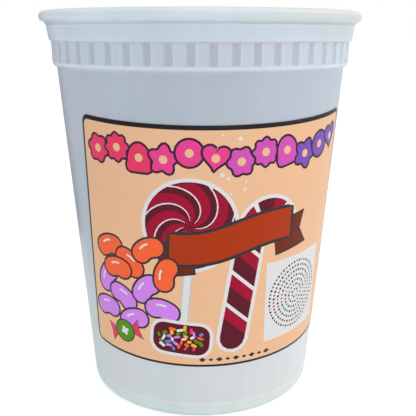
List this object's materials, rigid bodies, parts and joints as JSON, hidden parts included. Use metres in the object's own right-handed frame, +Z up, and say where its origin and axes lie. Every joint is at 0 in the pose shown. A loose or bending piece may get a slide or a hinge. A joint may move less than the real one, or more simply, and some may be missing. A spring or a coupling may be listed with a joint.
{
  "type": "cotton candy tub",
  "caption": "Round tapered translucent plastic tub of cotton candy, shut with a press-on lid, with a ribbed band under the rim and a printed label round the front.",
  "frame": {"origin": "centre of the flat base, on the surface it stands on", "axes": "+Z up through the lid, -Y towards the front, +X to the right of the front; the label's middle lies 10.4 degrees from -Y towards +X"},
  "size_m": [0.1174, 0.1174, 0.1427],
  "materials": {
    "tub": "translucent milky polypropylene, satin gloss, with pale cotton candy behind it",
    "lid": "translucent milky polypropylene, satin gloss",
    "label": "printed sticker, peach ground with pink, purple, maroon and orange shapes, semi-gloss"
  },
  "bodies": {
    "root": {"tub": "tub", "lid": "lid", "label": "label"}
  },
  "joints": []
}
